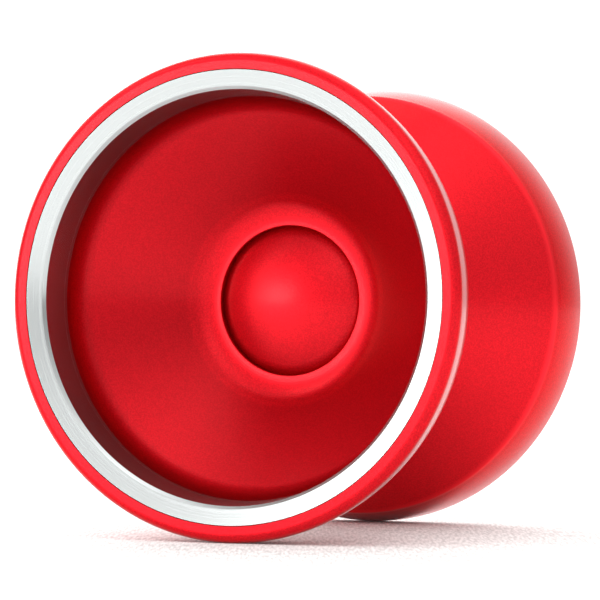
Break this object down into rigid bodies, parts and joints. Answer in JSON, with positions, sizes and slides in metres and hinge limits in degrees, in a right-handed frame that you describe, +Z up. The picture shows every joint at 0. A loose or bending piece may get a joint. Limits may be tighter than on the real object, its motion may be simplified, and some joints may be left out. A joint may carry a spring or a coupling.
{
  "type": "yo-yo",
  "caption": "Wide two-half metal yo-yo: red anodised cups with steel rim rings, domed hubs, a ball bearing and a narrow string gap.",
  "frame": {"origin": "middle of the bearing, on the spin axis and halfway between the two halves", "axes": "+Y along the spin axis towards the back half, +Z up, +X to the right seen from the front half"},
  "size_m": [0.056, 0.0464, 0.056],
  "materials": {
    "anodised_aluminium": "bead-blasted, anodised red, satin",
    "weight_ring_steel": "fine turned",
    "axle_steel": "dark threaded",
    "bearing_steel": "ground",
    "ball_steel": "polished",
    "cage_nylon": "moulded nylon",
    "pad_silicone": "silicone"
  },
  "bodies": {
    "front_body": {"front_half": "anodised_aluminium", "front_weight_ring": "weight_ring_steel", "front_response_pad": "pad_silicone", "axle": "axle_steel"},
    "bearing_core": {"bearing_inner_ring": "bearing_steel"},
    "back_body": {"back_half": "anodised_aluminium", "back_weight_ring": "weight_ring_steel", "back_response_pad": "pad_silicone"},
    "bearing_outer": {"bearing_outer_ring": "bearing_steel", "front_bearing_shield": "bearing_steel", "back_bearing_shield": "bearing_steel", "front_snap_ring": "bearing_steel", "back_snap_ring": "bearing_steel"},
    "cage": {"bearing_cage": "cage_nylon"},
    "ball_01": {"bearing_ball_01": "ball_steel"},
    "ball_02": {"bearing_ball_02": "ball_steel"},
    "ball_03": {"bearing_ball_03": "ball_steel"},
    "ball_04": {"bearing_ball_04": "ball_steel"},
    "ball_05": {"bearing_ball_05": "ball_steel"},
    "ball_06": {"bearing_ball_06": "ball_steel"},
    "ball_07": {"bearing_ball_07": "ball_steel"},
    "ball_08": {"bearing_ball_08": "ball_steel"},
    "ball_09": {"bearing_ball_09": "ball_steel"},
    "ball_10": {"bearing_ball_10": "ball_steel"}
  },
  "joints": [
    {"name": "unscrew_travel", "type": "slide", "parent": "front_body", "child": "bearing_core", "axis": [0, 1, 0], "range_m": [0, 0.00455]},
    {"name": "unscrew_turn", "type": "hinge", "parent": "bearing_core", "child": "back_body", "pos_m": [0, 0, 0], "axis": [0, 1, 0], "range_deg": [0, 2340]},
    {"name": "spin", "type": "hinge", "parent": "bearing_core", "child": "bearing_outer", "pos_m": [0, 0, 0], "axis": [0, 1, 0], "continuous": true},
    {"name": "cage_orbit", "type": "hinge", "parent": "bearing_core", "child": "cage", "pos_m": [0, 0, 0], "axis": [0, 1, 0], "continuous": true},
    {"name": "ball_01_roll", "type": "hinge", "parent": "cage", "child": "ball_01", "pos_m": [0.00476, 0, 0], "axis": [0, 1, 0], "continuous": true},
    {"name": "ball_02_roll", "type": "hinge", "parent": "cage", "child": "ball_02", "pos_m": [0.00385, 0, 0.0028], "axis": [0, 1, 0], "continuous": true},
    {"name": "ball_03_roll", "type": "hinge", "parent": "cage", "child": "ball_03", "pos_m": [0.00147, 0, 0.00453], "axis": [0, 1, 0], "continuous": true},
    {"name": "ball_04_roll", "type": "hinge", "parent": "cage", "child": "ball_04", "pos_m": [-0.00147, 0, 0.00453], "axis": [0, 1, 0], "continuous": true},
    {"name": "ball_05_roll", "type": "hinge", "parent": "cage", "child": "ball_05", "pos_m": [-0.00385, 0, 0.0028], "axis": [0, 1, 0], "continuous": true},
    {"name": "ball_06_roll", "type": "hinge", "parent": "cage", "child": "ball_06", "pos_m": [-0.00476, 0, 0], "axis": [0, 1, 0], "continuous": true},
    {"name": "ball_07_roll", "type": "hinge", "parent": "cage", "child": "ball_07", "pos_m": [-0.00385, 0, -0.0028], "axis": [0, 1, 0], "continuous": true},
    {"name": "ball_08_roll", "type": "hinge", "parent": "cage", "child": "ball_08", "pos_m": [-0.00147, 0, -0.00453], "axis": [0, 1, 0], "continuous": true},
    {"name": "ball_09_roll", "type": "hinge", "parent": "cage", "child": "ball_09", "pos_m": [0.00147, 0, -0.00453], "axis": [0, 1, 0], "continuous": true},
    {"name": "ball_10_roll", "type": "hinge", "parent": "cage", "child": "ball_10", "pos_m": [0.00385, 0, -0.0028], "axis": [0, 1, 0], "continuous": true}
  ],
  "couplings": [
    {"joint": "unscrew_travel", "follows": "unscrew_turn", "m_per_rad": 0.00011141},
    {"joint": "cage_orbit", "follows": "spin", "ratio": 0.58336},
    {"joint": "ball_01_roll", "follows": "spin", "ratio": 2.9157},
    {"joint": "ball_02_roll", "follows": "spin", "ratio": 2.9157},
    {"joint": "ball_03_roll", "follows": "spin", "ratio": 2.9157},
    {"joint": "ball_04_roll", "follows": "spin", "ratio": 2.9157},
    {"joint": "ball_05_roll", "follows": "spin", "ratio": 2.9157},
    {"joint": "ball_06_roll", "follows": "spin", "ratio": 2.9157},
    {"joint": "ball_07_roll", "follows": "spin", "ratio": 2.9157},
    {"joint": "ball_08_roll", "follows": "spin", "ratio": 2.9157},
    {"joint": "ball_09_roll", "follows": "spin", "ratio": 2.9157},
    {"joint": "ball_10_roll", "follows": "spin", "ratio": 2.9157}
  ]
}
